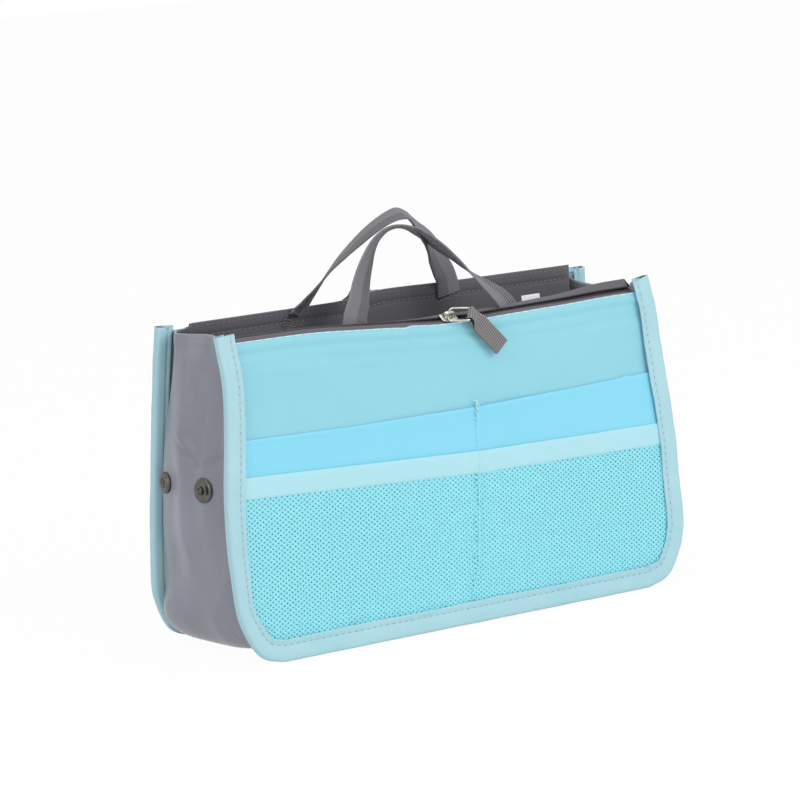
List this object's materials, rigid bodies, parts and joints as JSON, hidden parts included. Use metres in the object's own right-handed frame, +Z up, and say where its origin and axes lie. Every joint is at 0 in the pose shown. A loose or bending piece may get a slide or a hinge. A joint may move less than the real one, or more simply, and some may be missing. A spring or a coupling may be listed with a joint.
{
  "type": "mesh toiletry bag",
  "caption": "Free-standing soft toiletry organiser: pocketed zipped walls joined by a folding gusset, with webbing handles and an open top.",
  "frame": {"origin": "on the surface that the bag stands on, in the middle of its length and depth", "axes": "+X along the bag towards its right end, +Y from the front wall to the rear wall, +Z up"},
  "size_m": [0.3044, 0.0942, 0.226],
  "materials": {
    "panel": "smooth woven nylon",
    "slip": "smooth woven nylon",
    "net": "polyester netting",
    "band": "woven binding tape",
    "binding": "woven binding tape",
    "padding": "pressed felt",
    "liner": "satin lining nylon",
    "gusset": "coated satin nylon",
    "webbing": "ribbed woven webbing",
    "tape": "woven zip tape",
    "coil": "nylon coil",
    "label": "plain satin ribbon",
    "slider": "bright nickel plate",
    "snap": "gunmetal plate"
  },
  "bodies": {
    "bag_body": {"rear_outer_panel": "panel", "rear_slip_pocket": "slip", "rear_mesh_pocket": "net", "rear_mesh_pocket_band": "band", "rear_padding_sheet": "padding", "rear_liner": "liner", "rear_binding": "binding", "rear_zip_tape_outer": "tape", "rear_zip_tape_inner": "tape", "rear_zip_coil_outer": "coil", "rear_zip_coil_inner": "coil", "rear_handle_end_left": "webbing", "rear_handle_end_right": "webbing", "gusset_left": "gusset", "gusset_right": "gusset", "base_panel": "gusset", "left_snap_stud": "snap", "left_snap_stud_cap": "snap", "left_snap_socket": "snap", "left_snap_socket_cap": "snap", "right_snap_stud": "snap", "right_snap_stud_cap": "snap", "right_snap_socket": "snap", "right_snap_socket_cap": "snap"},
    "front_wall": {"front_outer_panel": "panel", "front_slip_pocket": "slip", "front_mesh_pocket": "net", "front_mesh_pocket_band": "band", "front_padding_sheet": "padding", "front_liner": "liner", "front_binding": "binding", "front_zip_tape_outer": "tape", "front_zip_tape_inner": "tape", "front_zip_coil_outer": "coil", "front_zip_coil_inner": "coil", "front_handle_end_left": "webbing", "front_handle_end_right": "webbing", "blank_label": "label"},
    "front_slider_body": {"front_zip_slider": "slider"},
    "front_ring_body": {"front_pull_ring": "slider"},
    "front_tab_body": {"front_pull_tab": "webbing"},
    "front_handle_body": {"front_handle": "webbing"},
    "rear_slider_body": {"rear_zip_slider": "slider"},
    "rear_ring_body": {"rear_pull_ring": "slider"},
    "rear_tab_body": {"rear_pull_tab": "webbing"},
    "rear_handle_body": {"rear_handle": "webbing"}
  },
  "joints": [
    {"name": "front_wall_hinge", "type": "hinge", "parent": "bag_body", "child": "front_wall", "pos_m": [0, -0.04167, 0.0057], "axis": [1, 0, 0], "range_deg": [-3, 8.5], "deforming": ["gusset_left", "gusset_right"]},
    {"name": "front_zip_slide", "type": "slide", "parent": "front_wall", "child": "front_slider_body", "axis": [1, 0, 0], "range_m": [-0.121, 0.104]},
    {"name": "front_ring_hinge", "type": "hinge", "parent": "front_slider_body", "child": "front_ring_body", "pos_m": [0.0076, -0.02877, 0.16778], "axis": [-0.5736, -0.6796, -0.4574], "range_deg": [0, 150]},
    {"name": "front_tab_hinge", "type": "hinge", "parent": "front_ring_body", "child": "front_tab_body", "pos_m": [0.01684, -0.03643, 0.16758], "axis": [-0.5736, -0.6796, -0.4574], "range_deg": [0, 120]},
    {"name": "front_handle_hinge", "type": "hinge", "parent": "front_wall", "child": "front_handle_body", "pos_m": [0, -0.02086, 0.17129], "axis": [1, 0, 0], "range_deg": [0, 120]},
    {"name": "rear_zip_slide", "type": "slide", "parent": "bag_body", "child": "rear_slider_body", "axis": [1, 0, 0], "range_m": [-0.11, 0.116]},
    {"name": "rear_ring_hinge", "type": "hinge", "parent": "rear_slider_body", "child": "rear_ring_body", "pos_m": [-0.0026, 0.02816, 0.17576], "axis": [0.6157, 0.6537, -0.44], "range_deg": [0, 150]},
    {"name": "rear_tab_hinge", "type": "hinge", "parent": "rear_ring_body", "child": "rear_tab_body", "pos_m": [-0.01149, 0.03621, 0.17529], "axis": [0.6157, 0.6537, -0.44], "range_deg": [0, 120]},
    {"name": "rear_handle_hinge", "type": "hinge", "parent": "bag_body", "child": "rear_handle_body", "pos_m": [-0.0062, 0.02025, 0.17927], "axis": [-1, 0, 0], "range_deg": [0, 120]}
  ]
}
